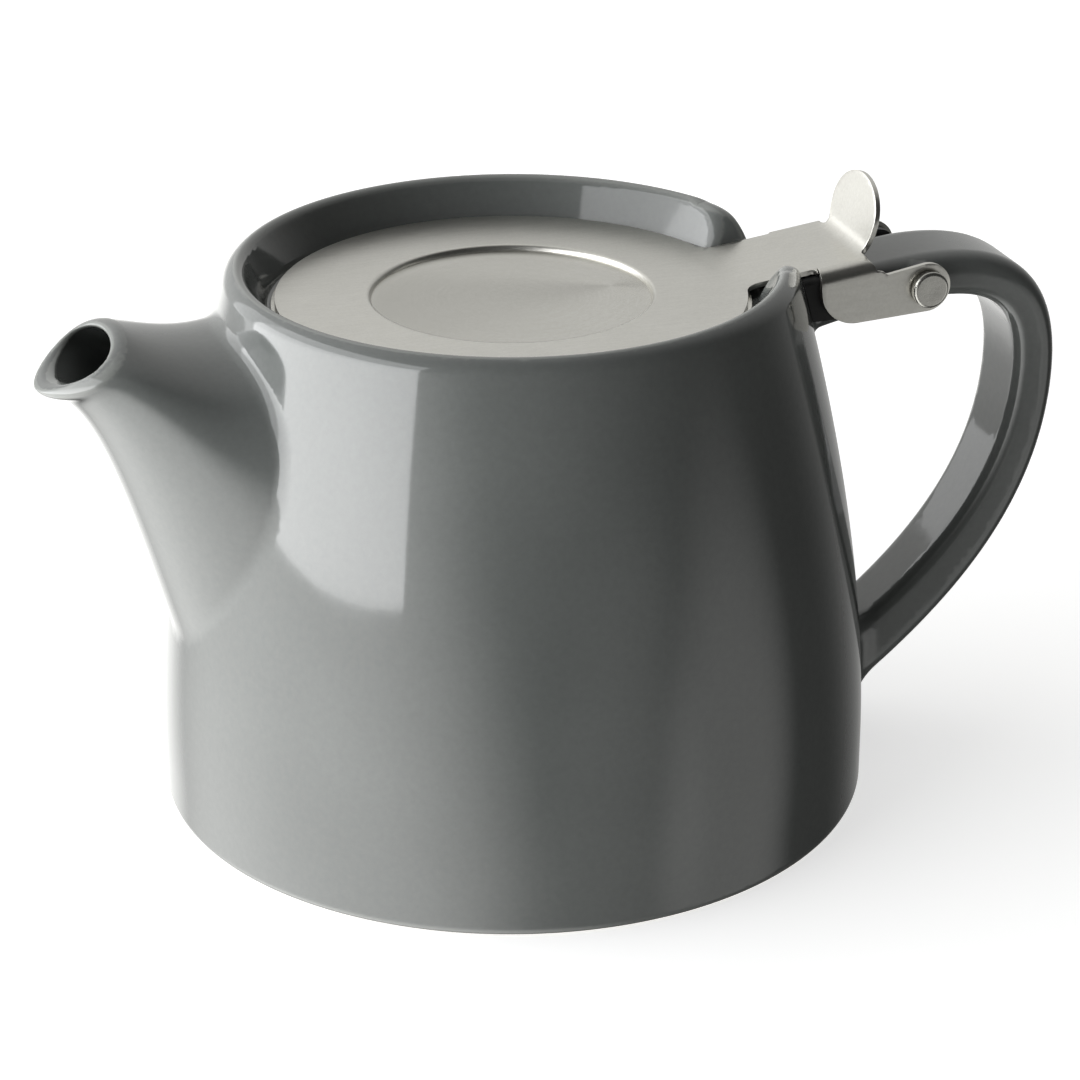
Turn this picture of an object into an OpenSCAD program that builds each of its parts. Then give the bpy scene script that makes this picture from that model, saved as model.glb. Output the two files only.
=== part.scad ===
// Teapot of about half a litre in one piece of glazed ceramic, with a hinged steel lid
// and a lift-out steel infuser. The origin is on the body's axis, on the table.
// +X points to the handle, -X to the spout, +Z up.

/* [Body] */
// Diameter of the body near the table
body_d = 114; // [108:1:122]
// Height from the table to the top of the rim
body_h = 88; // [82:1:96]
// Outside diameter of the rim
rim_d = 89.2; // [86:0.2:94]
// Height up to which the side stands straight
side_start = 8; // [6:1:14]
// Height at which the lines of the straight side and the slope meet
side_turn = 42; // [34:1:50]
// Thickness of the wall
wall = 4.2; // [3.4:0.1:5]
// Thickness of the floor
floor_t = 5; // [4:0.5:7]
// Radius of the edge between side and underside
base_edge_r = 2; // [1:0.5:4]
// Outside diameter of the foot ring
foot_d = 106; // [98:1:108]
// Width of the foot ring
foot_w = 5; // [3:0.5:8]
// Depth of the hollow inside the foot ring
foot_recess = 1.8; // [1:0.2:3]

/* [Mouth] */
// Width of the rim's wall at the ledge, on each side
rim_wall = 6.4; // [5.8:0.1:7]
// Width of the ledge that the infuser hangs on
ledge_w = 4; // [3:0.1:5]
// Radius of the rounded lip
lip_r = 1.7; // [1:0.1:2]
// Height of the ledge's own edge
ledge_t = 3; // [2:0.5:5]

/* [Notch] */
// Width of the gap in the rim that the lid's arm passes through
notch_w = 21.4; // [19.4:0.2:23]
// Radius of the two horns beside the gap
horn_r = 7; // [3:0.5:7.5]

/* [Spout] */
// How far the spout's lip reaches beyond the body
spout_reach = 18.8; // [15:0.2:23]
// Depth of the lip's lowest point below the rim
spout_lip_drop = 12.5; // [10:0.1:15]
// Depth of the lip's back edge below the rim
spout_back_drop = 3.9; // [3.4:0.1:5]
// How far the lip's back edge reaches beyond the body
spout_back_reach = 5.4; // [3:0.2:7]
// Depth of the spout's top line below the rim
spout_crest_drop = 6.2; // [5.8:0.1:7]
// Height at which the spout springs from the body
spout_root_z = 20; // [18:1:28]
// Half width of the spout at its root
spout_root_w = 25; // [22:0.5:27]
// Half width of the spout at its mouth
spout_mouth_w = 9.8; // [8.4:0.2:11]
// How much wider the mouth is towards the body than at the lip
spout_mouth_egg = 0.25; // [0:0.05:0.35]
// How much wider the spout's root is at the top than at the bottom
spout_root_egg = 0.5; // [0.3:0.05:0.6]
// Thickness of the spout's wall at the mouth
spout_lip_t = 1.9; // [1.4:0.1:2.4]

/* [Handle] */
// How far the handle's middle line reaches beyond the body
handle_reach = 31.4; // [28:0.2:36]
// Depth of the handle's top run below the rim, at its middle line
handle_drop = 8.5; // [8.3:0.1:9.2]
// Height at which the handle reaches furthest out
handle_out_z = 60; // [52:1:66]
// Height of the handle's lower end, at its middle line
handle_foot_z = 7.4; // [6.4:0.2:12]
// Width of the handle at its top
handle_w = 16.6; // [15:0.2:17.4]
// Width of the handle at its lower end
handle_foot_w = 11.4; // [11:0.2:16]
// Thickness of the handle at the pin
handle_t = 7; // [6.8:0.1:8]
// Thickness of the handle at its lower end
handle_foot_t = 10.6; // [9:0.2:13]
// Radius of the handle's edges
handle_edge_r = 2.8; // [1.8:0.2:3]

/* [Lid] */
// Clearance between the lid's disc and the recess, on each side
lid_side_gap = 1.4; // [1:0.1:1.8]
// Depth of the lid's top face below the rim
lid_drop = 5.6; // [5:0.1:7]
// Thickness of the lid's steel sheet
sheet_t = 0.8; // [0.7:0.1:1.1]
// Diameter of the round dish in the lid
dish_d = 45; // [36:1:52]
// Depth of the dish
dish_depth = 0.9; // [0.6:0.1:1.4]
// Gap between the closed lid and the infuser's flange
lid_gap = 0.3; // [0.2:0.1:0.5]

/* [Arm] */
// Width of the arm where it passes the rim
tongue_w = 18.4; // [16:0.2:18.8]
// Radius of the fillets where the arm joins the disc
tongue_fillet = 3; // [1:0.5:4]
// How far the arm climbs from the lid to the thumb tab
arm_rise = 2.7; // [2.4:0.1:3]
// Gap between the body and the front edge of the two cheeks
cheek_gap = 1.9; // [1.7:0.1:2.6]
// Outside radius of the bend between arm and cheek
bend_r = 2.2; // [1.8:0.1:3]
// Depth of the cheeks below the pin, at their lowest
cheek_drop = 4.6; // [4.4:0.1:5.4]
// Radius of the cheeks' lower front corner
cheek_r = 6; // [4:0.5:7]
// Radius of the lobe round the pin
lobe_r = 4; // [3.8:0.1:4.4]
// Distance from the pin back to the foot of the thumb tab
tab_back = 8.5; // [7.5:0.1:10]
// Lean of the thumb tab away from the lid
tab_lean = 13; // [0:1:20]
// Width of the thumb tab
tab_w = 16.4; // [13:0.2:17]
// Height of the thumb tab above the arm
tab_h = 11; // [9:0.2:14]

/* [Hinge] */
// Diameter of the pin
pin_d = 3; // [2.6:0.1:3.2]
// How far the pin lies outside the body's diameter
pin_out = 8.7; // [8.4:0.1:9.6]
// Diameter of the pin's head and of its nut
head_d = 6; // [5.6:0.2:7]
// Thickness of the pin's head and of its nut
head_t = 1.3; // [1:0.1:1.8]
// Height of the neck under the pin's head
neck_t = 0.4; // [0.2:0.1:0.8]
// Diameter of the pin's threaded end
stud_d = 2.4; // [2:0.1:2.5]
// Wall of the two bushes round the pin
bush_wall = 0.6; // [0.5:0.05:0.8]
// Thickness of the bushes' collars
collar_t = 2.4; // [1.8:0.1:2.6]
// Diameter of the bushes' collars
collar_d = 6.6; // [6:0.2:7]
// Running clearance round the pin
pin_gap = 0.05; // [0.03:0.01:0.08]
// Thickness of the rubber cushion under the arm
cushion_t = 0.6; // [0.4:0.1:0.7]
// Clearance between the cushion and the lid's arm and cheeks
cushion_gap = 0.3; // [0.25:0.05:0.4]

/* [Infuser] */
// Clearance between the infuser's flange and the recess, on each side
flange_side_gap = 0.7; // [0.4:0.1:1]
// Clearance between the infuser's collar and the opening, on each side
collar_side_gap = 0.6; // [0.4:0.1:1]
// Thickness of the infuser's collar
collar_sheet = 0.8; // [0.6:0.1:1]
// Diameter of the perforated wall
screen_d = 61; // [56:1:63]
// Thickness of the perforated wall
screen_t = 0.6; // [0.5:0.1:0.8]
// Depth of the infuser below its flange
infuser_depth = 58; // [50:1:64]
// Height of the plain collar above the perforated wall
collar_h = 12; // [10:1:16]
// Diameter of the holes in the wall
hole_d = 2.6; // [1.6:0.2:3]
// Holes in each row round the wall
holes_round = 20; // [16:2:20]
// Rows of holes
hole_rows = 6; // [4:1:6]

/* [Hidden] */
$fn = 96;

body_r = body_d / 2;
rim_r = rim_d / 2;
recess_r = rim_r - rim_wall;
mouth_r = recess_r - ledge_w;
lid_r = recess_r - lid_side_gap;
lip_z = body_h - lip_r;
lid_z = body_h - lid_drop;
flange_z = lid_z - sheet_t - lid_gap;
ledge_z = flange_z - collar_sheet;
far = 200;

// The outer side: straight up from the table, then a curve into the sloping shoulder
function mix(a, b, t) = a + (b - a) * t;
function bezier2(a, b, c, t) = mix(mix(a, b, t), mix(b, c, t), t);
function bezier3(a, b, c, d, t) = mix(bezier2(a, b, c, t), bezier2(b, c, d, t), t);
side_foot = [body_r, side_start];
side_knee = [body_r, side_turn];
side_top = [rim_r, lip_z];
side_steps = 20;
function side_points(inset) = [for (i = [0 : side_steps])
    bezier2(side_foot, side_knee, side_top, i / side_steps) - [inset, 0]];
// Radius of the outer side at a height
function side_t(z) =
    let (a = side_foot.y - 2 * side_knee.y + side_top.y, b = 2 * (side_knee.y - side_foot.y),
         c = side_foot.y - max(z, side_start))
    abs(a) < 1e-6 ? -c / b : (-b + sqrt(b * b - 4 * a * c)) / (2 * a);
function side_r(z) = bezier2(side_foot, side_knee, side_top, side_t(z)).x;
function arc(centre, r, from, to, steps) = [for (i = [0 : steps])
    let (a = mix(from, to, i / steps)) centre + r * [cos(a), sin(a)]];

// A solid through rings that all have the same number of points
module loft(rings) {
    n = len(rings[0]);
    last = len(rings) - 1;
    polyhedron(
        points = [for (ring = rings) each ring],
        faces = [
            [for (k = [n - 1 : -1 : 0]) k],
            for (i = [0 : last - 1], k = [0 : n - 1])
                each [[i * n + k, i * n + (k + 1) % n, (i + 1) * n + k],
                      [i * n + (k + 1) % n, (i + 1) * n + (k + 1) % n, (i + 1) * n + k]],
            [for (k = [0 : n - 1]) last * n + k]
        ]);
}

// Body: a turned shell with a rounded lip, a recess for the lid and a ledge for the infuser
module body_blank(grow = 0) {
    rotate_extrude()
        polygon(concat(
            [[0, 0]],
            arc([body_r - base_edge_r + grow, base_edge_r], base_edge_r, -90, 0, 5),
            side_points(-grow),
            arc([rim_r - lip_r + grow, lip_z], lip_r, 0, 90, 5),
            [[0, body_h]]));
}

lip_flat = 0.2;
lip_inner_r = rim_r - 2 * lip_r - lip_flat;
inner_edge_r = 6;
ledge_slope = 5;
module cavity() {
    low = floor_t + foot_recess;
    shoulder_z = ledge_z - ledge_t - ledge_slope;
    wide = [for (p = side_points(wall)) if (p.y > low + inner_edge_r && p.y < shoulder_z) p];
    rotate_extrude()
        polygon(concat(
            [[0, low]],
            arc([side_r(low + inner_edge_r) - wall - inner_edge_r, low + inner_edge_r], inner_edge_r, -90, 0, 6),
            wide,
            [[side_r(shoulder_z) - wall, shoulder_z], [mouth_r, ledge_z - ledge_t], [mouth_r, far], [0, far]]));
}

// The recess above the ledge, which the lid lies in, and the inner half of the lip
module recess() {
    lip_in = lip_inner_r + lip_r;
    rotate_extrude()
        polygon(concat(
            [[0, ledge_z], [recess_r, ledge_z]],
            arc([lip_in, lip_z], lip_r, 180, 90, 5),
            [[lip_in, far], [0, far]]));
}

module foot_hollow() {
    foot_r = foot_d / 2;
    rotate_extrude()
        polygon([[0, -1], [foot_r - foot_w, -1], [foot_r - foot_w, 0],
                 [foot_r - foot_w - foot_recess / 2, foot_recess], [0, foot_recess]]);
}

// Spout: rings between a top line and a bottom line. Each is an egg, and the root's spreads into the wall
spout_back = [-(body_r + spout_back_reach), body_h - spout_back_drop];
spout_lip = [-(body_r + spout_reach), body_h - spout_lip_drop];
crest_z = body_h - spout_crest_drop;
function spout_top(t) = bezier3([-body_r + 20, crest_z + 3], [-body_r + 10, crest_z - 1.8], [-body_r + 3, crest_z - 1],
                                spout_back, t);
function spout_low(t) = bezier3([-body_r + 6, spout_root_z], [-body_r - 3.5, spout_root_z + 26],
                                [-body_r - 8, spout_lip.y + 1.6], spout_lip, t);
function spout_half(t) = mix(spout_mouth_w, spout_root_w, pow(1 - t, 1.35));
function spout_egg(t) = mix(spout_root_egg, spout_mouth_egg, t);
// One ring: inset moves it inwards, and egg widens its upper half
function spout_ring(top, low, half, inset, egg, sides) =
    let (axis = (top - low) / norm(top - low), t1 = top - axis * inset, l1 = low + axis * inset,
         middle = (t1 + l1) / 2, reach = (t1 - l1) / 2)
    [for (k = [0 : sides - 1])
        let (a = 360 * k / sides, p = middle + reach * cos(a))
        [p.x, -(half - inset) * sin(a) * (1 + egg * cos(a)), p.y]];
mouth_axis = (spout_back - spout_lip) / norm(spout_back - spout_lip);
mouth_out = [-mouth_axis.y, mouth_axis.x];
spout_steps = 12;
spout_sides = 32;
module spout_skin() {
    round_off = spout_lip_t / 3;
    loft(concat(
        [for (i = [0 : spout_steps])
            let (t = i / spout_steps)
            spout_ring(spout_top(t), spout_low(t), spout_half(t), 0, spout_egg(t), spout_sides)],
        [spout_ring(spout_back + mouth_out * round_off, spout_lip + mouth_out * round_off, spout_mouth_w, round_off,
                    spout_mouth_egg, spout_sides)]));
}

// The inside of the spout: the same rings drawn in by the wall, below a slope that clears the ledge
channel_steps = 10;
channel_sides = 24;
module spout_channel() {
    past = 2 * spout_lip_t;
    inside = [10, 0];
    roof = [[-body_r + 30, ledge_z - ledge_t - 7], [-body_r - 1, spout_back.y - spout_lip_t - 1]];
    difference() {
        loft(concat(
            [spout_ring(spout_top(0) + inside, spout_low(0) + inside, spout_root_w, wall, spout_root_egg,
                        channel_sides)],
            [for (i = [0 : channel_steps])
                let (t = i / channel_steps)
                spout_ring(spout_top(t), spout_low(t), spout_half(t), mix(wall, spout_lip_t, t), spout_egg(t),
                           channel_sides)],
            [spout_ring(spout_back + mouth_out * past, spout_lip + mouth_out * past, spout_mouth_w, spout_lip_t * 0.9,
                        spout_mouth_egg, channel_sides)]));
        translate([0, body_r, 0])
            rotate([90, 0, 0])
                linear_extrude(2 * body_r)
                    polygon([roof[0], roof[1], [roof[1].x, far], [roof[0].x, far]]);
    }
}

// Handle: a strap with round edges along two curves, out from the notch and back to the foot
pin_x = body_r + pin_out;
handle_z = body_h - handle_drop;
pin_z = handle_z;
handle_out = [body_r + handle_reach, handle_out_z];
handle_root = [rim_r - 0.6, handle_z - 3.6];
handle_foot = [body_r - 5, handle_foot_z];
function handle_line(t) = t < 1
    ? bezier3(handle_root, [pin_x + 1, handle_z + 0.5], [handle_out.x + 0.8, handle_z + 6.2], handle_out, t)
    : bezier3(handle_out, [handle_out.x - 0.7, handle_out.y - 23], [body_r + 15, handle_foot.y + 13.5], handle_foot, t - 1);
function handle_dir(t) = let (d = handle_line(t + 0.01) - handle_line(t - 0.01)) d / norm(d);
// Thickness: a little deeper at the root, thinnest at the pin, growing steadily to the foot
function handle_thick(t) = t < 0.3
    ? handle_t + 1.2 * pow(1 - t / 0.3, 2)
    : mix(handle_t, handle_foot_t, pow((t - 0.3) / 1.7, 2));
function handle_wide(t) = mix(handle_w, handle_foot_w, max(0, t - 0.4) / 1.6);
function strap_section(w, t) = [
    for (c = [[1, 1, 0], [-1, 1, 90], [-1, -1, 180], [1, -1, 270]])
        each arc([c[0] * (t / 2 - handle_edge_r), c[1] * (w / 2 - handle_edge_r)], handle_edge_r, c[2], c[2] + 90, 4)];
function handle_ring(t) =
    let (p = handle_line(t), d = handle_dir(t), across = [-d.y, d.x])
    [for (q = strap_section(handle_wide(t), handle_thick(t)))
        [p.x + across.x * q[0], q[1], p.y + across.y * q[0]]];
handle_steps = 40;
module handle_strap() {
    loft([for (i = [0 : handle_steps]) handle_ring(mix(0.01, 1.99, i / handle_steps))]);
}

// Notch: the gap in the rim, with a rounded horn on each side
arm_root = [lid_r - 1.5, lid_z];
tab_x = pin_x - tab_back;
arm_angle = atan(arm_rise / (tab_x - arm_root.x));
function arm_z(x) = arm_root.y + (x - arm_root.x) * tan(arm_angle);
notch_z = ledge_z;
module rim_notch() {
    half = notch_w / 2;
    reach = [mouth_r - 2, side_r(notch_z) + 0.5];
    translate([reach[0], 0, 0])
        rotate([90, 0, 90])
            linear_extrude(reach[1] - reach[0])
                difference() {
                    polygon([[-half, notch_z], [half, notch_z], [half, body_h - horn_r], [half + horn_r, body_h],
                             [half + horn_r, far], [-half - horn_r, far], [-half - horn_r, body_h],
                             [-half, body_h - horn_r]]);
                    for (side = [-1, 1])
                        translate([side * (half + horn_r), body_h - horn_r])
                            circle(horn_r);
                }
}

bush_r = pin_d / 2 + pin_gap + bush_wall;
module along_y(x, z, from, to, r) {
    translate([x, from, z])
        rotate([-90, 0, 0])
            cylinder(h = to - from, r = r);
}
module pin_bore() {
    along_y(pin_x, pin_z, -handle_w, handle_w, bush_r + pin_gap);
}

module pot() {
    color("slategray")
        difference() {
            union() {
                difference() {
                    union() {
                        body_blank();
                        spout_skin();
                    }
                    cavity();
                    recess();
                    rim_notch();
                }
                difference() {
                    handle_strap();
                    cavity();
                }
            }
            spout_channel();
            foot_hollow();
            pin_bore();
        }
}

// Lid: one sheet of steel, with a stamped dish, an arm, two cheeks folded down and a tab folded up
cheek_in = handle_w / 2 + collar_t + pin_gap;
cheek_out = cheek_in + sheet_t;
cheek_x = side_r(lid_z) + cheek_gap;
module lid_disc() {
    edge = sheet_t / 3;
    dish_r = dish_d / 2;
    slope = 0.8;
    rotate_extrude()
        translate([0, lid_z])
            polygon([
                [0, -dish_depth], [dish_r - slope, -dish_depth], [dish_r, 0],
                [lid_r - edge, 0], [lid_r, -edge], [lid_r, -sheet_t + edge], [lid_r - edge, -sheet_t],
                [dish_r - edge, -sheet_t], [dish_r - edge - slope, -dish_depth - sheet_t], [0, -dish_depth - sheet_t]]);
}

// Everything that follows the arm's slope is drawn flat from its root and then tilted
module on_arm() {
    translate([arm_root.x, 0, arm_root.y])
        rotate([0, -arm_angle, 0])
            children();
}
arm_len = (tab_x - arm_root.x) / cos(arm_angle);
cheek_at = (cheek_x - arm_root.x) / cos(arm_angle);
module arm_tongue() {
    half = tongue_w / 2;
    middle_y = half + tongue_fillet;
    middle_x = sqrt(pow(lid_r + tongue_fillet, 2) - pow(middle_y, 2));
    turn = atan2(middle_y, middle_x);
    on_arm()
        translate([0, 0, -sheet_t])
            linear_extrude(sheet_t)
                union() {
                    translate([0, -half])
                        square([cheek_at + 1, tongue_w]);
                    for (side = [-1, 1])
                        scale([1, side])
                            translate([-arm_root.x, 0])
                                polygon(concat(
                                    arc([middle_x, middle_y], tongue_fillet, turn + 180, 270, 6),
                                    [[middle_x, 0], [arm_root.x, 0]]));
                }
}

// The channel's section: the arm across, the bends and the two cheeks, before the cheeks get their outline
module channel_section(depth) {
    inner_r = bend_r - sheet_t;
    difference() {
        union() {
            translate([-cheek_out, -depth])
                square([2 * cheek_out, depth - bend_r]);
            translate([-cheek_out + bend_r, -depth])
                square([2 * (cheek_out - bend_r), depth]);
            for (side = [-1, 1])
                translate([side * (cheek_out - bend_r), -bend_r])
                    circle(bend_r);
        }
        translate([-cheek_in, -depth - 1])
            square([2 * cheek_in, depth + 1 - bend_r]);
        translate([-cheek_in + inner_r, -depth - 1])
            square([2 * (cheek_in - inner_r), depth + 1 - sheet_t]);
        for (side = [-1, 1])
            translate([side * (cheek_in - inner_r), -bend_r])
                circle(inner_r);
    }
}

// The cheek's outline seen from the side: front corner, straight lower edge and the lobe round the pin
module cheek_outline() {
    corner = [cheek_x + cheek_r, pin_z - cheek_drop + cheek_r];
    pin = [pin_x, pin_z];
    span = pin - corner;
    turn = atan2(span.y, span.x);
    lean = asin((cheek_r - lobe_r) / norm(span));
    low = turn - 90 + lean;
    neck_z = pin_z + lobe_r - 1.2;
    tip_x = tab_x - tab_bend / 2;
    translate(corner)
        circle(cheek_r);
    translate(pin)
        circle(lobe_r);
    polygon([corner, corner + cheek_r * [cos(low), sin(low)], pin + lobe_r * [cos(low), sin(low)], pin,
             [pin_x, pin_z + lobe_r], [tab_x + 1.3, neck_z], [tab_x - 0.2, neck_z + 0.9], [tip_x, arm_z(tip_x) + 1],
             [cheek_x, arm_z(cheek_x) + 1], [cheek_x, corner.y]]);
}

module cheeks() {
    intersection() {
        on_arm()
            rotate([90, 0, 90])
                linear_extrude(pin_x + 2 * lobe_r - arm_root.x)
                    channel_section(2 * head_d + arm_rise);
        translate([0, cheek_out + 1, 0])
            rotate([90, 0, 0])
                linear_extrude(2 * cheek_out + 2)
                    cheek_outline();
    }
}

// The tab: a bend up from the arm, then a plate that leans back, with a flat round top
tab_bend = 2.6;
tab_flat = 0.76;
module thumb_tab() {
    top_z = arm_z(tab_x) + tab_h;
    intersection() {
        translate([0, cheek_out, 0])
            rotate([90, 0, 0])
                linear_extrude(2 * cheek_out)
                    tab_side(top_z);
        translate([tab_x - 3 * tab_bend, 0, 0])
            rotate([90, 0, 90])
                linear_extrude(tab_h + 3 * tab_bend)
                    tab_front(top_z);
    }
}
module tab_side(top_z) {
    z0 = arm_z(tab_x - tab_bend);
    centre = [tab_x - tab_bend, z0 + tab_bend];
    out = [cos(tab_lean), -sin(tab_lean)];
    up = [sin(tab_lean), cos(tab_lean)];
    reach = 2 * tab_bend + sheet_t;
    length = (top_z - centre.y) / up.y + tab_bend;
    difference() {
        union() {
            intersection() {
                translate(centre)
                    circle(tab_bend + sheet_t);
                polygon([centre, centre + reach * out, [centre.x + reach, z0 - reach], [centre.x - 0.4, z0 - reach],
                         [centre.x - 0.4, centre.y]]);
            }
            polygon([centre + tab_bend * out, centre + (tab_bend + sheet_t) * out,
                     centre + (tab_bend + sheet_t) * out + length * up, centre + tab_bend * out + length * up]);
        }
        translate(centre)
            circle(tab_bend);
    }
}
module tab_front(top_z) {
    r = tab_w / 2;
    foot = r - 0.8;
    foot_z = arm_z(tab_x) - 3;
    wide_z = top_z - r * tab_flat;
    polygon(concat(
        [[-foot, foot_z], [foot, foot_z], [foot, foot_z + 4.5]],
        [for (k = [0 : 24]) [r * cos(7.5 * k), wide_z + r * tab_flat * sin(7.5 * k)]],
        [[-foot, foot_z + 4.5]]));
}

module lid_plate() {
    color("silver")
        difference() {
            union() {
                lid_disc();
                arm_tongue();
                cheeks();
                thumb_tab();
            }
            along_y(pin_x, pin_z, -cheek_out - 1, cheek_out + 1, pin_d / 2);
        }
}

// Hinge: the pin with its turned head in front, a nut at the back, and a collared bush from each side
module hinge_pin() {
    chamfer = head_t / 4;
    neck_r = (pin_d + head_d) / 4;
    top = neck_t + head_t;
    color("gainsboro") {
        along_y(pin_x, pin_z, -cheek_out, cheek_out, pin_d / 2);
        along_y(pin_x, pin_z, cheek_out, cheek_out + head_t * 0.7, stud_d / 2);
        translate([pin_x, -cheek_out, pin_z])
            rotate([90, 0, 0])
                rotate_extrude()
                    polygon([[0, 0], [neck_r, 0], [neck_r, neck_t], [head_d / 2, neck_t],
                             [head_d / 2, top - chamfer], [head_d / 2 - chamfer, top], [0, top]]);
    }
}

module pin_nut() {
    slot_w = 1;
    slot_deep = head_t * 0.3 - 0.05;
    chamfer = head_t / 4;
    color("gainsboro")
        translate([pin_x, cheek_out, pin_z])
            rotate([-90, 0, 0])
                difference() {
                    rotate_extrude()
                        polygon([[stud_d / 2, 0], [head_d / 2, 0], [head_d / 2, head_t - chamfer],
                                 [head_d / 2 - chamfer, head_t], [0, head_t], [0, head_t * 0.7],
                                 [stud_d / 2, head_t * 0.7]]);
                    translate([-head_d / 2, -slot_w / 2, head_t - slot_deep])
                        cube([head_d, slot_w, head_t]);
                }
}

module bush(side) {
    color("dimgray")
        translate([pin_x, 0, pin_z])
            rotate([side > 0 ? -90 : 90, 0, 0])
                difference() {
                    union() {
                        translate([0, 0, 0.4])
                            cylinder(h = handle_w / 2 - 0.4, r = bush_r);
                        translate([0, 0, handle_w / 2])
                            cylinder(h = collar_t, r = collar_d / 2);
                    }
                    cylinder(h = handle_w, r = pin_d / 2 + pin_gap);
                }
}

// Cushion: a rubber saddle on the handle's root that keeps the steel off the glaze
module hinge_cushion() {
    inner = handle_w / 2 + pin_gap;
    outer = cheek_in - cushion_gap;
    top = -sheet_t - cushion_gap;
    corner = bend_r - sheet_t - cushion_gap;
    depth = 2 * cheek_drop;
    back_x = tab_x - tab_bend;
    color("black")
        difference() {
            intersection() {
                on_arm()
                    rotate([90, 0, 90])
                        linear_extrude(arm_len)
                            difference() {
                                union() {
                                    translate([-outer, -depth])
                                        square([2 * outer, depth + top - corner]);
                                    translate([-outer + corner, -depth])
                                        square([2 * (outer - corner), depth + top]);
                                    for (side = [-1, 1])
                                        translate([side * (outer - corner), top - corner])
                                            circle(corner);
                                }
                                translate([-inner, -depth - 1])
                                    square([2 * inner, depth + 1 + top - cushion_t]);
                            }
                translate([0, -outer - 1, pin_z - cheek_drop + cushion_t])
                    cube([back_x, 2 * outer + 2, 2 * depth]);
            }
            body_blank(cushion_gap);
        }
}

// Infuser: a drawn collar with a flange, a perforated wall and a perforated base
screen_r = screen_d / 2;
screen_top = flange_z - collar_h;
screen_low = flange_z - infuser_depth;
module infuser_collar() {
    flange_r = recess_r - flange_side_gap;
    neck_r = mouth_r - collar_side_gap;
    outside = [[flange_r, flange_z], [flange_r, ledge_z], [neck_r, ledge_z], [neck_r, ledge_z - 3],
               [screen_r + collar_sheet, screen_top + 2.5], [screen_r + collar_sheet, screen_top - 2]];
    inside = [[screen_r, screen_top - 2], [screen_r, screen_top + 2.5], [neck_r - collar_sheet, ledge_z - 3],
              [neck_r - collar_sheet, ledge_z], [neck_r - collar_sheet * 1.3, flange_z]];
    color("silver")
        rotate_extrude()
            polygon(concat(outside, inside));
}

module infuser_screen() {
    rows_low = screen_low + 7;
    rows_high = screen_top - 6;
    color("lightgray")
        difference() {
            translate([0, 0, screen_low])
                difference() {
                    cylinder(h = screen_top - screen_low, r = screen_r);
                    translate([0, 0, -1])
                        cylinder(h = screen_top - screen_low + 2, r = screen_r - screen_t);
                }
            for (row = [0 : hole_rows - 1], k = [0 : holes_round - 1])
                rotate([0, 0, (k + (row % 2) / 2) * 360 / holes_round])
                    translate([screen_r - 2 * screen_t, 0, mix(rows_low, rows_high, row / (hole_rows - 1))])
                        rotate([0, 90, 0])
                            cylinder(h = 3 * screen_t, d = hole_d);
        }
}

base_rings = [6, 12, 18];
module infuser_base() {
    lip_h = 3;
    color("lightgray")
        difference() {
            translate([0, 0, screen_low - collar_sheet])
                difference() {
                    cylinder(h = lip_h + collar_sheet, r = screen_r + collar_sheet);
                    translate([0, 0, collar_sheet])
                        cylinder(h = lip_h + 1, r = screen_r);
                }
            for (ring = [0 : 2], k = [0 : base_rings[ring] - 1])
                rotate([0, 0, k * 360 / base_rings[ring]])
                    translate([(ring + 1) * screen_r / 3.6, 0, screen_low - 2 * collar_sheet])
                        cylinder(h = 3 * collar_sheet, d = hole_d);
        }
}

pot();
lid_plate();
hinge_pin();
pin_nut();
bush(-1);  // bush_near
bush(1);  // bush_far
hinge_cushion();
infuser_collar();
infuser_screen();
infuser_base();
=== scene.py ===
"""The looks of the infuser teapot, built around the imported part. Lengths in the code are millimetres."""

import math

import bmesh
import bpy
import numpy as np
from mathutils import Matrix, Vector
from mathutils.geometry import delaunay_2d_cdt


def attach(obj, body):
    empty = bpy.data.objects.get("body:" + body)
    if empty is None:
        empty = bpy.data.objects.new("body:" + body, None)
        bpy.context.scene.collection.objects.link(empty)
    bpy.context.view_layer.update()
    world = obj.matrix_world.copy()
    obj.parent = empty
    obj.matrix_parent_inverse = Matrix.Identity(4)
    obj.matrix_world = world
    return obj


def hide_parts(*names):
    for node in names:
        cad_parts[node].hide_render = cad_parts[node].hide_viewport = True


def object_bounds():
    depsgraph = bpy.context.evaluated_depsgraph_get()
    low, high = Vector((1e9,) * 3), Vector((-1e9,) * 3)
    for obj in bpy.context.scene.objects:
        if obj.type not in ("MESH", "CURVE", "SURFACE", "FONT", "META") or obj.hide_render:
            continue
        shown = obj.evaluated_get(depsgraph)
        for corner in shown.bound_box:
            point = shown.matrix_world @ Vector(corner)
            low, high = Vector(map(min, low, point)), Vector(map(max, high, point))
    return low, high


MM = 0.001
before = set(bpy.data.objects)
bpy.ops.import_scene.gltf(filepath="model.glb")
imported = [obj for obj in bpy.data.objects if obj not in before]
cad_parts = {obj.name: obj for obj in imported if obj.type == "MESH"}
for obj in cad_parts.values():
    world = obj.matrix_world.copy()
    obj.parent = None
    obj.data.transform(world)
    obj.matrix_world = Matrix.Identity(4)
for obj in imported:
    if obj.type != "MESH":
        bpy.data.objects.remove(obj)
cad_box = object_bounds()

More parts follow.
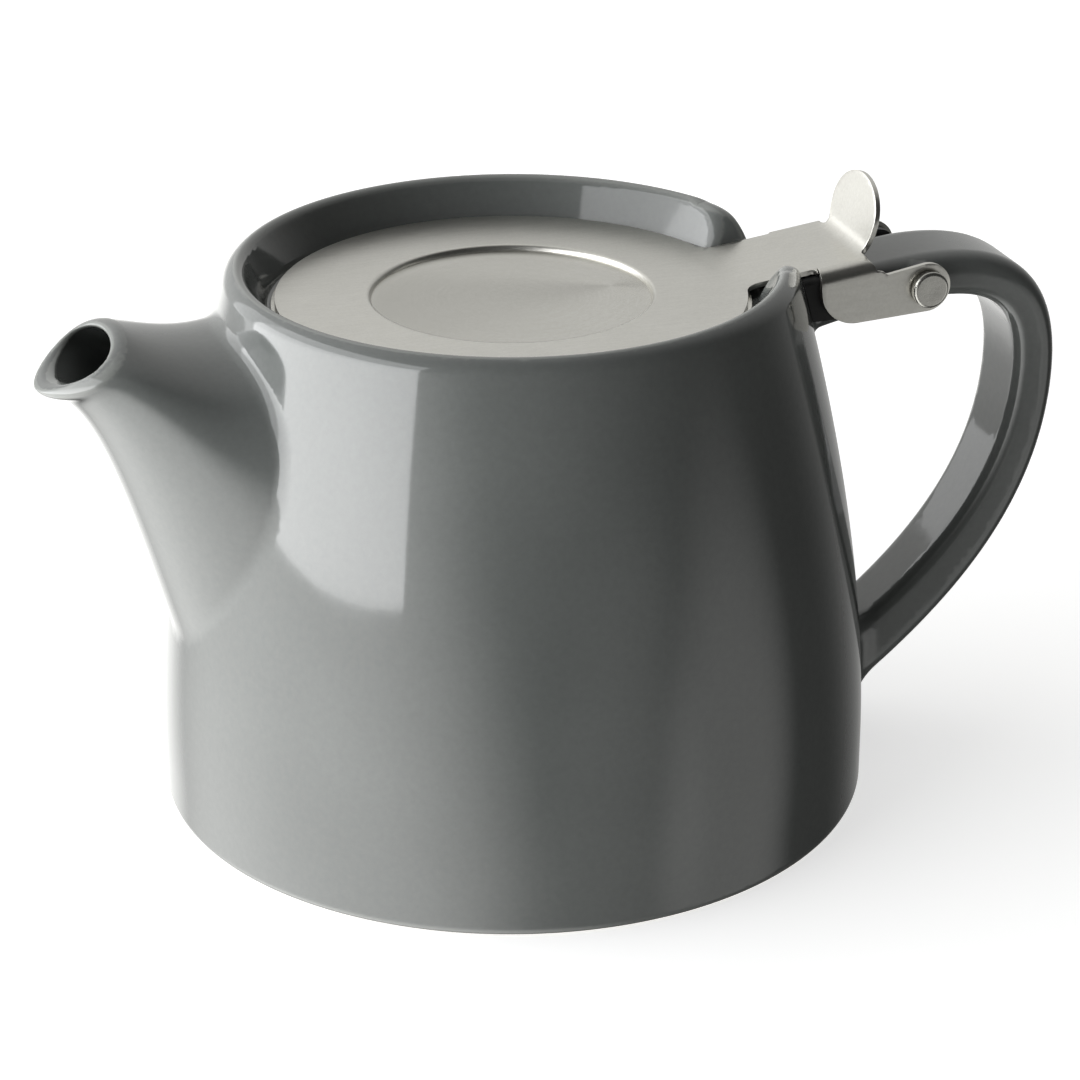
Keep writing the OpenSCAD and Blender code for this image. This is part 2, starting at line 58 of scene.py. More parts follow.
# Sizes. They are the source's, apart from the spout's crest, root and lip thickness, its fuller
# flanks and the roundings of the rim, which are set here to the photo
BODY_R, BODY_H, RIM_R = 57.0, 88.0, 44.6
SIDE_START, SIDE_TURN = 8.0, 42.0
WALL, FLOOR, FOOT_RECESS, FOOT_IN_R = 4.2, 6.8, 1.8, 48.0
LIP_R, RIM_OUT_R, RIM_IN_R = 1.7, 2.4, 1.2
RECESS_R, MOUTH_R, LID_R = 38.2, 34.2, 36.8
SHOULDER, RECESS = (5.0, 10.6), (2.8, 5.8)  # run and rise, under the ledge and above it
LID_Z, SHEET = 82.4, 0.8
FLANGE_Z, LEDGE_Z = 81.3, 80.5
NOTCH_W, HORN_R = 21.4, 7.0
SPOUT_BACK, SPOUT_LIP = np.array([-62.4, 84.1]), np.array([-75.8, 75.5])
CREST_Z, SPOUT_ROOT_Z, SPOUT_LIP_T = 81.1, 19.0, 1.8
SPOUT_ROOT_W, SPOUT_MOUTH_W = 24.4, 9.8
SPOUT_ROOT_EGG, SPOUT_MOUTH_EGG, SPOUT_ROOT_FORM = 0.32, 0.25, 0.85
PIN_X, PIN_Z = 65.7, 79.5
HANDLE_OUT, HANDLE_FOOT = np.array([88.4, 60.0]), np.array([52.0, 7.4])
HANDLE_ROOT = np.array([44.0, 75.9])
HANDLE_THICK, HANDLE_WIDE = (7.0, 10.6), (16.6, 11.4)  # near the pin and at the foot
HANDLE_EDGES = (3.4, 2.2)  # radius of the edges, away from the hand and towards it
BORE_R = 2.2
BEAD, BEAD_DEEP, BEAD_W = 0.8, 1.4, 1.4  # the lip's bead: height, depth under the mouth, width
ROOF_X, ROOF_Z, ROOF_BEND_X = -27.0, 70.5, -58.0  # the channel's roof and where it turns up
DISH_R, DISH_SLOPE, DISH_DEEP = 22.5, 0.5, 0.9


def mix(a, b, t):
    return a + (b - a) * t


def smooth(x, lo, hi):
    t = np.clip((x - lo) / (hi - lo), 0, 1)
    return t * t * (3 - 2 * t)


def bezier(points, t):
    """A Bezier curve through its control points, for one t or an array of them."""
    t = np.asarray(t, float)[..., None]
    rows = [np.asarray(p, float) + 0 * t for p in points]
    while len(rows) > 1:
        rows = [mix(a, b, t) for a, b in zip(rows, rows[1:])]
    return rows[0]


def join(a, b, r):
    """Two solids as one, with a fillet of radius r where they meet."""
    return np.maximum(r, np.minimum(a, b)) - np.sqrt(np.maximum(r - a, 0) ** 2 + np.maximum(r - b, 0) ** 2)


def meet(a, b, r):
    """What two solids share, with an edge rounded to radius r."""
    return np.minimum(-r, np.maximum(a, b)) + np.sqrt(np.maximum(r + a, 0) ** 2 + np.maximum(r + b, 0) ** 2)


# The pot as a distance field: negative inside the clay
def side_radius(z):
    a = SIDE_START - 2 * SIDE_TURN + (BODY_H - LIP_R)
    b = 2 * (SIDE_TURN - SIDE_START)
    c = SIDE_START - np.maximum(z, SIDE_START)
    t = (-b + np.sqrt(np.maximum(b * b - 4 * a * c, 0))) / (2 * a)
    r = (1 - t) ** 2 * BODY_R + 2 * t * (1 - t) * BODY_R + t * t * RIM_R
    dr = 2 * t * (RIM_R - BODY_R)
    dz = 2 * (1 - t) * (SIDE_TURN - SIDE_START) + 2 * t * (BODY_H - LIP_R - SIDE_TURN)
    return r, dz / np.hypot(dr, dz)


def body_outside(r, z):
    wall, lean = side_radius(z)
    side = (r - wall) * lean
    top = meet(side, z - BODY_H, RIM_OUT_R)
    return meet(top, -z, 1.6)


def body_inside(r, z):
    """The hollow: below the shoulder, through the mouth, and the lid's recess above the ledge."""
    wall, lean = side_radius(z)
    side = (r - (wall - WALL)) * lean
    shoulder = ((r - MOUTH_R) * SHOULDER[0] + (z - (LEDGE_Z - 3)) * SHOULDER[1]) / math.hypot(*SHOULDER)
    low = meet(meet(side, FLOOR - z, 6), shoulder, 3)
    neck = meet(r - MOUTH_R, 70 - z, 1)
    slope = ((r - RECESS_R) * RECESS[1] - (z - LEDGE_Z) * RECESS[0]) / math.hypot(*RECESS)
    return join(join(low, neck, 1.2), meet(slope, LEDGE_Z - z, 0.5), 0.5)


def spout_top(t):
    return bezier([(-BODY_R + 20, CREST_Z + 3), (-BODY_R + 10, CREST_Z - 1.8),
                   (-BODY_R + 3, CREST_Z - 1), SPOUT_BACK], t)


def spout_low(t):
    return bezier([(-BODY_R + 5.4, SPOUT_ROOT_Z), (-BODY_R - 2.9, SPOUT_ROOT_Z + 26.3),
                   (-BODY_R - 8, SPOUT_LIP[1] + 1.6), SPOUT_LIP], t)


mouth_axis = (SPOUT_BACK - SPOUT_LIP) / np.linalg.norm(SPOUT_BACK - SPOUT_LIP)
mouth_out = np.array([-mouth_axis[1], mouth_axis[0]])


def slant(line, t, axis):
    """How much deeper an inset has to go where a line meets the ring's plane at a slant."""
    d = line(t) - line(t - 0.02)
    across = np.abs(d[..., 0] * axis[..., 1] - d[..., 1] * axis[..., 0])
    return np.minimum(1.5, np.linalg.norm(d, axis=-1) / across)


def spout_frame(x, z):
    """For points of the middle plane: which ring they lie on, and where along its axis."""
    p = np.stack([x, z], -1)

    def beside(t):
        top, low = spout_top(t), spout_low(t)
        d, q = top - low, p - low
        return d[..., 0] * q[..., 1] - d[..., 1] * q[..., 0]

    lo, hi = np.zeros(x.shape), np.ones(x.shape)
    past_mouth = beside(hi) > 0
    before_root = beside(lo) < 0
    for _ in range(20):
        m = (lo + hi) / 2
        up = beside(m) > 0
        lo, hi = np.where(up, m, lo), np.where(up, hi, m)
    t = np.where(past_mouth, 1.0, np.where(before_root, 0.0, (lo + hi) / 2))
    top, low = spout_top(t), spout_low(t)
    axis = top - low
    reach = np.linalg.norm(axis, axis=-1)
    axis = axis / reach[..., None]
    along = ((p - (top + low) / 2) * axis).sum(-1)
    root = spout_top(np.array(0.0)) - spout_low(np.array(0.0))
    root = root / np.linalg.norm(root)
    back = (p - spout_low(np.array(0.0))) @ np.array([root[1], -root[0]])
    mouth = (p - SPOUT_LIP) @ mouth_out
    return t, along, reach / 2, slant(spout_top, t, axis), slant(spout_low, t, axis), back, mouth


def egg_field(along, y, reach, half, egg, form):
    """About the distance to a ring: an egg whose flanks are fuller where form is under 1."""
    u = along / reach
    swell = 1 + egg * np.clip(u, -1.4, 1.4)
    v = np.abs(y) / (half * swell) + 1e-6
    q = 2 / form
    rho = np.sqrt(u * u + v ** q)
    slope_up = (u - q / 2 * v ** q * egg / swell) / (rho * reach)
    slope_side = q / 2 * v ** (q - 1) / (rho * half * swell)
    return (rho - 1) / np.maximum(np.hypot(slope_up, slope_side), 0.3 / np.maximum(reach, half))


def spout_fields(x, y, z, ring=None):
    """The spout's clay, and its channel."""
    t, along, reach, deep_top, deep_low, back, mouth = spout_frame(x, z) if ring is None else ring
    half = mix(SPOUT_MOUTH_W, SPOUT_ROOT_W, (1 - t) ** 0.9)
    egg = mix(SPOUT_ROOT_EGG, SPOUT_MOUTH_EGG, t)
    form = mix(SPOUT_ROOT_FORM, 1.0, t)
    bead = BEAD * np.exp(-((mouth + BEAD_DEEP) / BEAD_W) ** 2)
    out = egg_field(along, y, reach, half, egg, form) - bead * smooth(-along / reach, -0.4, 0.9)
    inset = mix(WALL, SPOUT_LIP_T, t)
    hollow = egg_field(along + inset * (deep_top - deep_low) / 2, y,
                       reach - inset * (deep_top + deep_low) / 2, half - inset, egg, form)
    clay = np.maximum(meet(out, mouth, 1.2), back - 2)
    roof_z = ROOF_Z + (ROOF_X - x) * 10.7 / 31 + 0.12 * np.maximum(ROOF_BEND_X - x, 0) ** 2
    roof = (z - roof_z) * 0.945
    hollow = meet(meet(hollow, roof, 1.5), back - 10, 1)
    return clay, hollow


handle_a = [HANDLE_ROOT, (PIN_X + 1, PIN_Z + 0.5), (HANDLE_OUT[0] + 0.8, PIN_Z + 6.2), HANDLE_OUT]
handle_b = [HANDLE_OUT, (HANDLE_OUT[0] - 0.7, HANDLE_OUT[1] - 23),
            (BODY_R + 15, HANDLE_FOOT[1] + 13.5), HANDLE_FOOT]
steps = np.linspace(0, 1, 241)
line = np.concatenate([bezier(handle_a, steps)[:-1], bezier(handle_b, steps)])
for _ in range(40):
    line[1:-1] = (line[:-2] + 2 * line[1:-1] + line[2:]) / 4
line_t = np.linspace(0, 2, len(line))


def handle_frame(x, z):
    """Nearest point of the handle's middle line: its parameter and the signed distance across."""
    p = np.stack([x, z], -1).reshape(-1, 2)
    best = np.empty(len(p))
    across = np.empty(len(p))
    seg = line[1:] - line[:-1]
    length = (seg ** 2).sum(-1)
    tangent = np.gradient(line, axis=0)
    tangent /= np.linalg.norm(tangent, axis=-1)[:, None]
    for s in range(0, len(p), 20000):
        q = p[s:s + 20000]
        d2 = ((q[:, None, :] - line[None, ::8]) ** 2).sum(-1)
        near = d2.argmin(1) * 8
        idx = np.clip(near[:, None] + np.arange(-9, 9)[None], 0, len(seg) - 1)
        w = q[:, None] - line[idx]
        f = np.clip((w * seg[idx]).sum(-1) / length[idx], 0, 1)
        off = w - f[..., None] * seg[idx]
        k = (off ** 2).sum(-1).argmin(1)
        rows = np.arange(len(q))
        i, f, off = idx[rows, k], f[rows, k], off[rows, k]
        d = mix(tangent[i], tangent[np.minimum(i + 1, len(line) - 1)], f[:, None])
        d /= np.linalg.norm(d, axis=-1)[:, None]
        best[s:s + 20000] = mix(line_t[i], line_t[np.minimum(i + 1, len(line) - 1)], f)
        across[s:s + 20000] = -d[:, 1] * off[:, 0] + d[:, 0] * off[:, 1]
    return best.reshape(x.shape), across.reshape(x.shape)


def handle_field(x, y, z, ring=None):
    t, across = handle_frame(x, z) if ring is None else ring
    at_root = HANDLE_THICK[0] + 1.2 * np.clip(1 - t / 0.3, 0, 1) ** 2
    thick = np.where(t < 0.3, at_root, mix(*HANDLE_THICK, (np.clip(t - 0.3, 0, 2) / 1.7) ** 2))
    wide = mix(*HANDLE_WIDE, np.maximum(0, t - 0.4) / 1.6)
    edge = np.where(across > 0, *HANDLE_EDGES)
    qx = np.abs(across) - (thick / 2 - edge)
    qy = np.abs(y) - (wide / 2 - edge)
    return np.hypot(np.maximum(qx, 0), np.maximum(qy, 0)) + np.minimum(np.maximum(qx, qy), 0) - edge


def only(part, field, x, y, z, count):
    """A field worked out for some of the points. It is far from zero at the others."""
    out = np.full((count, x.size), 50.0)
    out[:, part] = field(x[part], y[part], z[part])
    return out


# The spout leaves the body flat near its root and steeply at its crest, so that the same fillet is
# a small value below and a large one above
VALLEY_LOW, VALLEY_TOP = 0.7, 1.7


def pot_field(x, y, z, rings=(None, None)):
    r = np.hypot(x, y)
    outside = body_outside(r, z)
    inside = body_inside(r, z)
    if rings[0] is None:
        clay, channel = only(x < -20, spout_fields, x, y, z, 2)
        strap = only(x > 40, handle_field, x, y, z, 1)[0]
    else:
        clay, channel = spout_fields(x, y, z, rings[0])
        strap = handle_field(x, y, z, rings[1])
    body = join(outside, clay, mix(VALLEY_LOW, VALLEY_TOP, np.clip((z - 30) / 52, 0, 1) ** 4))
    edge = mix(0.7, RIM_IN_R, smooth(z, 82.5, 85))
    body = meet(body, -inside, edge)
    ay = np.abs(y)
    beside = ay - NOTCH_W / 2 - HORN_R
    above = np.where(z > BODY_H - HORN_R, HORN_R - np.hypot(np.minimum(beside, 0), z - BODY_H + HORN_R),
                     ay - NOTCH_W / 2) + 0.6 * np.maximum(beside, 0)
    notch = meet(above, LEDGE_Z - z, 1.5)
    notch = np.maximum(notch, MOUTH_R - 2 - x)
    body = meet(body, -notch, 1.5)
    strap = np.maximum(np.maximum(strap, 42 - x), -inside)
    pot = join(body, strap, mix(6.0, 2.0, smooth(z, 25, 60)))
    pot = meet(pot, -channel, 0.8)
    pot = meet(pot, -(meet(z - FOOT_RECESS, r - FOOT_IN_R, 0.8)), 0.6)
    bore = BORE_R - np.hypot(x - PIN_X, z - PIN_Z)
    return meet(pot, bore, 0.4)


def spaced(parts):
    """Grid lines: (from, to, step) runs joined end to end."""
    out = []
    for a, b, step in parts:
        n = max(1, round((b - a) / step))
        out.append(np.linspace(a, b, n + 1)[:-1])
    return np.concatenate(out + [[parts[-1][1]]])


def surface_net(xs, ys, zs, values):
    """A mesh of quads through a grid of values: one point in each cell that the surface crosses."""
    inside = values < 0
    grid = (xs, ys, zs)
    shape = tuple(n - 1 for n in values.shape)
    total = np.zeros(shape + (3,))
    count = np.zeros(shape)
    quads = []
    for axis in range(3):
        a = [slice(None)] * 3
        b = [slice(None)] * 3
        a[axis], b[axis] = slice(0, -1), slice(1, None)
        va, vb = values[tuple(a)], values[tuple(b)]
        hit = np.argwhere(inside[tuple(a)] != inside[tuple(b)])
        f = va[tuple(hit.T)] / (va[tuple(hit.T)] - vb[tuple(hit.T)])
        pos = np.stack([g[hit[:, k]] for k, g in enumerate(grid)], -1)
        pos[:, axis] += f * (grid[axis][hit[:, axis] + 1] - grid[axis][hit[:, axis]])
        u, v = [k for k in range(3) if k != axis]
        cells = []
        for du, dv in ((0, 0), (-1, 0), (-1, -1), (0, -1)):
            c = hit.copy()
            c[:, u] += du
            c[:, v] += dv
            cells.append(c)
        ok = np.ones(len(hit), bool)
        for c in cells:
            ok &= (c >= 0).all(1) & (c < shape).all(1)
        for c in cells:
            flat = np.ravel_multi_index(c[ok].T, shape)
            for k in range(3):
                total[..., k].reshape(-1)[:] += np.bincount(flat, pos[ok, k], total[..., k].size)
            count.reshape(-1)[:] += np.bincount(flat, minlength=count.size)
        q = np.stack([np.ravel_multi_index(c[ok].T, shape) for c in cells], -1)
        flip = inside[tuple(hit[ok].T)] ^ (axis == 1)
        q[~flip] = q[~flip][:, ::-1]
        quads.append(q)
    quads = np.concatenate(quads)
    used = np.unique(quads)
    index = np.full(count.size, -1)
    index[used] = np.arange(len(used))
    flat = total.reshape(-1, 3)[used] / count.reshape(-1)[used][:, None]
    return flat, index[quads]


def gradient(p, field, h=0.01):
    k = np.array([[1, -1, -1], [-1, -1, 1], [-1, 1, -1], [1, 1, 1]], float)
    g = sum(field(*(p + h * d).T)[:, None] * d for d in k)
    return g / (4 * h)


def to_surface(p, field, steps, most=0.6):
    for _ in range(steps):
        g = gradient(p, field)
        d = field(*p.T) / np.maximum((g ** 2).sum(1), 0.1)
        p = p - np.clip(d, -most, most)[:, None] * g
    return p


def mesh_object(name, points, faces, smooth_faces=True):
    me = bpy.data.meshes.new(name)
    me.from_pydata([tuple(v) for v in np.asarray(points) * MM], [], [tuple(int(i) for i in f) for f in faces])
    me.validate()
    me.polygons.foreach_set("use_smooth", [smooth_faces] * len(me.polygons))
    ob = bpy.data.objects.new(name, me)
    bpy.context.scene.collection.objects.link(ob)
    return ob


def unit_normals(p, field):
    g = gradient(p, field)
    return g / (np.linalg.norm(g, axis=1)[:, None] + 1e-9)


def split_quads(p, quads):
    """Each quad as two triangles, across its shorter diagonal."""
    a, b, c, d = quads.T
    short = np.linalg.norm(p[a] - p[c], axis=1) < np.linalg.norm(p[b] - p[d], axis=1)
    one = np.where(short[:, None], quads[:, [0, 1, 2]], quads[:, [0, 1, 3]])
    two = np.where(short[:, None], quads[:, [0, 2, 3]], quads[:, [1, 2, 3]])
    return np.concatenate([one, two])


def refine(p, tris, field, angle, shortest):
    """Halve the edges that the surface turns by more than angle along, and keep the mesh closed."""
    n = unit_normals(p, field)
    edges = np.sort(np.concatenate([tris[:, [0, 1]], tris[:, [1, 2]], tris[:, [2, 0]]]), 1)
    _, first, inverse = np.unique(edges[:, 0] * len(p) + edges[:, 1], return_index=True, return_inverse=True)
    a, b = edges[first].T
    split = ((n[a] * n[b]).sum(1) < math.cos(angle)) & (np.linalg.norm(p[a] - p[b], axis=1) > shortest)
    index = np.full(len(first), -1)
    index[split] = len(p) + np.arange(split.sum())
    mid = index[inverse].reshape(3, -1).T
    count = (mid >= 0).sum(1)
    out = [tris[count == 0]]
    for k in range(3):
        way = [k, (k + 1) % 3, (k + 2) % 3]
        one = (count == 1) & (mid[:, k] >= 0)
        v, q = tris[one][:, way], mid[one, k]
        out += [np.stack([v[:, 0], q, v[:, 2]], 1), np.stack([q, v[:, 1], v[:, 2]], 1)]
        two = (count == 2) & (mid[:, k] < 0)
        v, q, r = tris[two][:, way], mid[two, way[1]], mid[two, way[2]]
        out += [np.stack([q, v[:, 2], r], 1), np.stack([v[:, 0], v[:, 1], q], 1),
                np.stack([v[:, 0], q, r], 1)]
    v, q = tris[count == 3], mid[count == 3]
    out += [np.stack([v[:, k], q[:, k], q[:, (k + 2) % 3]], 1) for k in range(3)] + [q]
    return np.concatenate([p, to_surface((p[a] + p[b])[split] / 2, field, 3)]), np.concatenate(out)


def relax(p, edges, field, weight):
    """Even out the points along the surface."""
    total = np.zeros_like(p)
    for a, b in ((0, 1), (1, 0)):
        for k in range(3):
            total[:, k] += np.bincount(edges[:, a], p[edges[:, b], k], len(p))
    count = np.bincount(edges[:, 0], minlength=len(p)) + np.bincount(edges[:, 1], minlength=len(p))
    n = unit_normals(p, field)
    move = (total / count[:, None] - p) * weight
    return to_surface(p + move - (move * n).sum(1)[:, None] * n, field, 1)


# Two passes that halve edges: over this angle in degrees and down to this length
REFINE = ((18, 0.6), (15, 0.5))


def build_pot():
    coarse = 1.0
    xs = spaced([(-78, -56, 0.75 * coarse), (-56, 34, 1.5 * coarse),
                 (34, 56, 0.9 * coarse), (56, 93.5, 1.1 * coarse)])
    ys = spaced([(-59, -24, 1.5 * coarse), (-24, 24, 0.9 * coarse), (24, 59, 1.5 * coarse)])
    zs = spaced([(-1.5, 3, 0.75), (3, 70, 1.5 * coarse), (70, 89.5, 0.7 * coarse)])
    gx, gz = np.meshgrid(xs, zs, indexing="ij")
    ring_a = [v[:, None, :] for v in spout_frame(gx, gz)]
    ring_b = [v[:, None, :] for v in handle_frame(gx, gz)]
    values = pot_field(xs[:, None, None], ys[None, :, None], zs[None, None, :], (ring_a, ring_b))
    p, quads = surface_net(xs, ys, zs, np.broadcast_to(values, (len(xs), len(ys), len(zs))))
    p = to_surface(p, pot_field, 3)
    edges = np.concatenate([quads[:, [k, (k + 1) % 4]] for k in range(4)])
    for _ in range(3):
        p = relax(p, edges, pot_field, 0.6)
    tris = split_quads(p, quads)
    for angle, shortest in REFINE:
        p, tris = refine(p, tris, pot_field, math.radians(angle), shortest)
        p = relax(p, np.concatenate([tris[:, [0, 1]], tris[:, [1, 2]], tris[:, [2, 0]]]), pot_field, 0.3)
    p = to_surface(p, pot_field, 2)
    p = np.clip(p, *np.array(cad_box) / MM)
    g = unit_normals(p, pot_field)
    ob = mesh_object("pot_glazed", p, tris)
    ob.data.normals_split_custom_set_from_vertices([tuple(n) for n in g])
    # The surface's bend at each point, for the material: convex edges are painted paler, partly thinner glaze
    # and partly a painted highlight
    step = 0.45
    bend = sum(pot_field(*(p + step * d).T) + pot_field(*(p - step * d).T) for d in np.eye(3)) / step ** 2
    attr = ob.data.attributes.new("thin_glaze_and_edge_highlight", "FLOAT", "POINT")
    attr.data.foreach_set("value", np.clip(bend, -1.5, 1.5).astype(np.float32))
    return ob


# The lid: a flat pattern cut from sheet, then stamped and folded
ARM_X, TAB_X = LID_R - 1.5, PIN_X - 8.5
ARM_ANGLE = math.atan(2.7 / (TAB_X - ARM_X))
TONGUE, FILLET = 9.2, 3.0
CHEEK_X, CHEEK_IN = float(side_radius(np.array(LID_Z))[0]) + 1.9, 8.3 + 2.4 + 0.05
BEND_R = 2.2
TAB_BEND, TAB_LEAN, TAB_R = 2.6, math.radians(13), 8.2
flat_half = CHEEK_IN - (BEND_R - SHEET)
bend_mid = BEND_R - SHEET / 2
bend_len = bend_mid * math.pi / 2
tab_s = ARM_X + (TAB_X - TAB_BEND - ARM_X) / math.cos(ARM_ANGLE)
tab_turn = math.pi / 2 - ARM_ANGLE - TAB_LEAN
tab_mid = TAB_BEND + SHEET / 2
tab_len = tab_mid * tab_turn


def arm_local(x, z):
    dx, dz = x - ARM_X, z - LID_Z
    c, s = math.cos(ARM_ANGLE), math.sin(ARM_ANGLE)
    return ARM_X + dx * c + dz * s, -dx * s + dz * c


def cheek_flat(x, z):
    """A point of a cheek in the object's frame, in the flat pattern."""
    s, depth = arm_local(x, z)
    return s, flat_half + bend_len + (-BEND_R - depth)


def curve(cx, cy, r, a0, a1, n):
    a = np.radians(np.linspace(a0, a1, n + 1))
    return [(cx + r * math.cos(t), cy + r * math.sin(t)) for t in a]


def dense(points, step):
    out = []
    for a, b in zip(points, points[1:]):
        n = max(1, math.ceil(math.dist(a, b) / step))
        out += [(mix(a[0], b[0], k / n), mix(a[1], b[1], k / n)) for k in range(n)]
    return out + [points[-1]]


def lid_outline():
    cy = TONGUE + FILLET
    cx = math.sqrt((LID_R + FILLET) ** 2 - cy ** 2)
    turn = math.degrees(math.atan2(cy, cx))
    pts = curve(0, 0, LID_R, 180, turn, 90)[:-1]
    pts += curve(cx, cy, FILLET, turn + 180, 270, 10)
    s0 = cheek_flat(CHEEK_X, LID_Z - BEND_R + 1.0)[0]
    pts += dense([(cx + 0.3, TONGUE), (s0 - 0.8, TONGUE)], 0.8)
    pts += curve(s0 - 0.8, TONGUE + 0.8, 0.8, 270, 360, 5)[1:]
    corner = (CHEEK_X + 6, PIN_Z - 4.6 + 6)
    lobe = 4.0
    span = (PIN_X - corner[0], PIN_Z - corner[1])
    low = math.degrees(math.atan2(span[1], span[0])) - 90
    low += math.degrees(math.asin((6 - lobe) / math.hypot(*span)))
    side = dense([(CHEEK_X, PIN_Z + 5.5), (CHEEK_X, corner[1] + 0.2)], 0.5)
    side += curve(*corner, 6, 180, 360 + low, 16)
    low_pin = (PIN_X + lobe * math.cos(math.radians(low)), PIN_Z + lobe * math.sin(math.radians(low)))
    side += dense([side[-1], low_pin], 1.0)[1:-1]
    side += curve(PIN_X, PIN_Z, lobe, low, 96, 24)
    side += curve(TAB_X + 1.9, PIN_Z + 4.0, 1.1, 262, 215, 3)
    side += [(TAB_X - 0.2, PIN_Z + 3.7)]
    flat = [cheek_flat(x, z) for x, z in side]
    flat = [(max(s, s0) if v > TONGUE and k < 12 else s, v) for k, (s, v) in enumerate(flat)]
    pts += dense([(s0, TONGUE + 0.9), flat[0]], 0.6)[:-1] + flat
    tip = arm_local(TAB_X - 1.3, LID_Z + 2.6)[0]
    pts += dense([flat[-1], (tip, flat_half + 0.6), (tip, TAB_R - 0.2)], 0.5)[1:-1]
    foot = TAB_R - 0.8
    top_z = LID_Z + 2.7 + 11.0
    bend_top = LID_Z + 2.7 + TAB_BEND * (1 - math.sin(TAB_LEAN))

    def up(z):
        return tab_s + tab_len + (z - bend_top) / math.cos(TAB_LEAN)

    pts += [(tip + 0.1, foot + 0.35), (tip + 0.4, foot)]
    wide = up(top_z - TAB_R * 0.76)
    pts += dense([(tip + 0.9, foot), (up(86.4), foot)], 0.8)
    k = np.linspace(0, math.pi / 2, 25)
    tip_h = up(top_z) - wide
    pts += [(wide - 1.6, TAB_R - 0.12)] + [(wide + tip_h * math.sin(a), TAB_R * math.cos(a)) for a in k[:-1]]
    end = (up(top_z), 0.0)
    mirror = [(s, -v) for s, v in pts[::-1]]
    return pts + [end] + mirror[:-1]


def fold(s, v):
    """The flat pattern's middle surface in the object's frame."""
    s, v = np.asarray(s, float), np.asarray(v, float)
    r = np.hypot(s, v)
    dish = -DISH_DEEP * (1 - smooth(r, DISH_R - DISH_SLOPE, DISH_R))
    av, sign = np.abs(v), np.sign(v)
    a = np.clip((av - flat_half) / bend_mid, 0, math.pi / 2)
    past = np.maximum(av - flat_half - bend_len, 0)
    on_cheek = s > CHEEK_X - 4
    y = np.where(on_cheek, sign * (np.minimum(av, flat_half) + bend_mid * np.sin(a)), v)
    drop = np.where(on_cheek, -bend_mid * (1 - np.cos(a)) - past, 0)
    b = np.where(np.abs(v) < flat_half - 0.4, np.clip((s - tab_s) / tab_mid, 0, tab_turn), 0)
    rest = np.where(b >= tab_turn, s - tab_s - tab_len, 0)
    flat_s = np.where(b > 0, tab_s, s)
    ls = flat_s + tab_mid * np.sin(b) + rest * math.cos(tab_turn)
    lz = drop + tab_mid * (1 - np.cos(b)) + rest * math.sin(tab_turn) - SHEET / 2
    run = ls - ARM_X
    c, k = math.cos(ARM_ANGLE), math.sin(ARM_ANGLE)
    x = np.where(run > 0, ARM_X + run * c - (lz + SHEET / 2) * k, ls)
    z = np.where(run > 0, LID_Z + run * k + (lz + SHEET / 2) * c - SHEET / 2, LID_Z + lz)
    return np.stack([x, y, z + dish], -1)


def build_lid():
    outline = lid_outline()
    n = len(outline)
    holes = []
    for side in (-1, 1):
        ring = [cheek_flat(x, z) for x, z in curve(PIN_X, PIN_Z, 1.5, 0, 360, 24)[:-1]]
        holes.append([(s, side * v) for s, v in ring])
    pts = list(outline)
    edges = [(k, (k + 1) % n) for k in range(n)]
    for h in holes:
        at = len(pts)
        pts += h
        edges += [(at + k, at + (k + 1) % len(h)) for k in range(len(h))]
    for r in [3, 6, 9, 12, 15, 18, 20, 25, 28, 31, 33.5, 35.6]:
        m = max(12, round(2 * math.pi * r / 2.6))
        pts += [(r * math.cos(2 * math.pi * k / m), r * math.sin(2 * math.pi * k / m)) for k in range(m)]
    for r in np.arange(-5, 4) * DISH_SLOPE / 6 + DISH_R:
        turn = np.linspace(0, 2 * math.pi, 361)[:-1]
        pts += [(float(r * math.cos(a)), float(r * math.sin(a))) for a in turn]
    for r in (DISH_R - 1.5, DISH_R + 1.5):
        pts += [(r * math.cos(a), r * math.sin(a)) for a in np.linspace(0, 2 * math.pi, 181)[:-1]]
    ring_end = LID_R + 0.8
    for s in np.arange(ring_end, 82, 0.7):
        for v in np.arange(-26, 26.01, 0.7):
            pts.append((float(s), float(v)))
    for side in (-1, 1):
        for s in np.arange(CHEEK_X, 70, 0.7):
            pts += [(float(s), side * (flat_half + bend_len * k / 6)) for k in range(7)]
    poly = np.array(outline)

    def within(q):
        a, b = poly, np.roll(poly, -1, 0)
        cross = (a[:, 1] > q[1]) != (b[:, 1] > q[1])
        with np.errstate(divide="ignore", invalid="ignore"):
            xs = a[:, 0] + (q[1] - a[:, 1]) * (b[:, 0] - a[:, 0]) / (b[:, 1] - a[:, 1])
        return bool((cross & (q[0] < xs)).sum() % 2)

    def clear(q):
        if not within(q):
            return False
        if np.hypot(*(poly - q).T).min() < 0.3:
            return False
        return all(np.hypot(*(np.array(h) - q).T).min() > 0.3 for h in holes)

    fixed = n + sum(len(h) for h in holes)
    extra = [q for q in pts[fixed:] if clear(q)]
    pts = pts[:fixed] + extra
    out, _, faces, *_ = delaunay_2d_cdt([Vector(q) for q in pts], edges, [], 1, 1e-5)
    flat = np.array([(q.x, q.y) for q in out])
    keep = []
    for f in faces:
        c = flat[list(f)].mean(0)
        if not within(c):
            continue
        if any(np.hypot(*(np.array(h).mean(0) - c)) < 1.45 for h in holes):
            continue
        keep.append(list(f))
    ob = mesh_object("lid_sheet", fold(flat[:, 0], flat[:, 1]), keep)
    solid = ob.modifiers.new("thickness", "SOLIDIFY")
    solid.thickness = SHEET * MM
    solid.offset = 0
    bevel = ob.modifiers.new("edges", "BEVEL")
    bevel.width = 0.16 * MM
    bevel.segments = 2
    bevel.limit_method = "ANGLE"
    bevel.angle_limit = math.radians(50)
    normal = ob.modifiers.new("normals", "WEIGHTED_NORMAL")
    normal.keep_sharp = True
    return ob


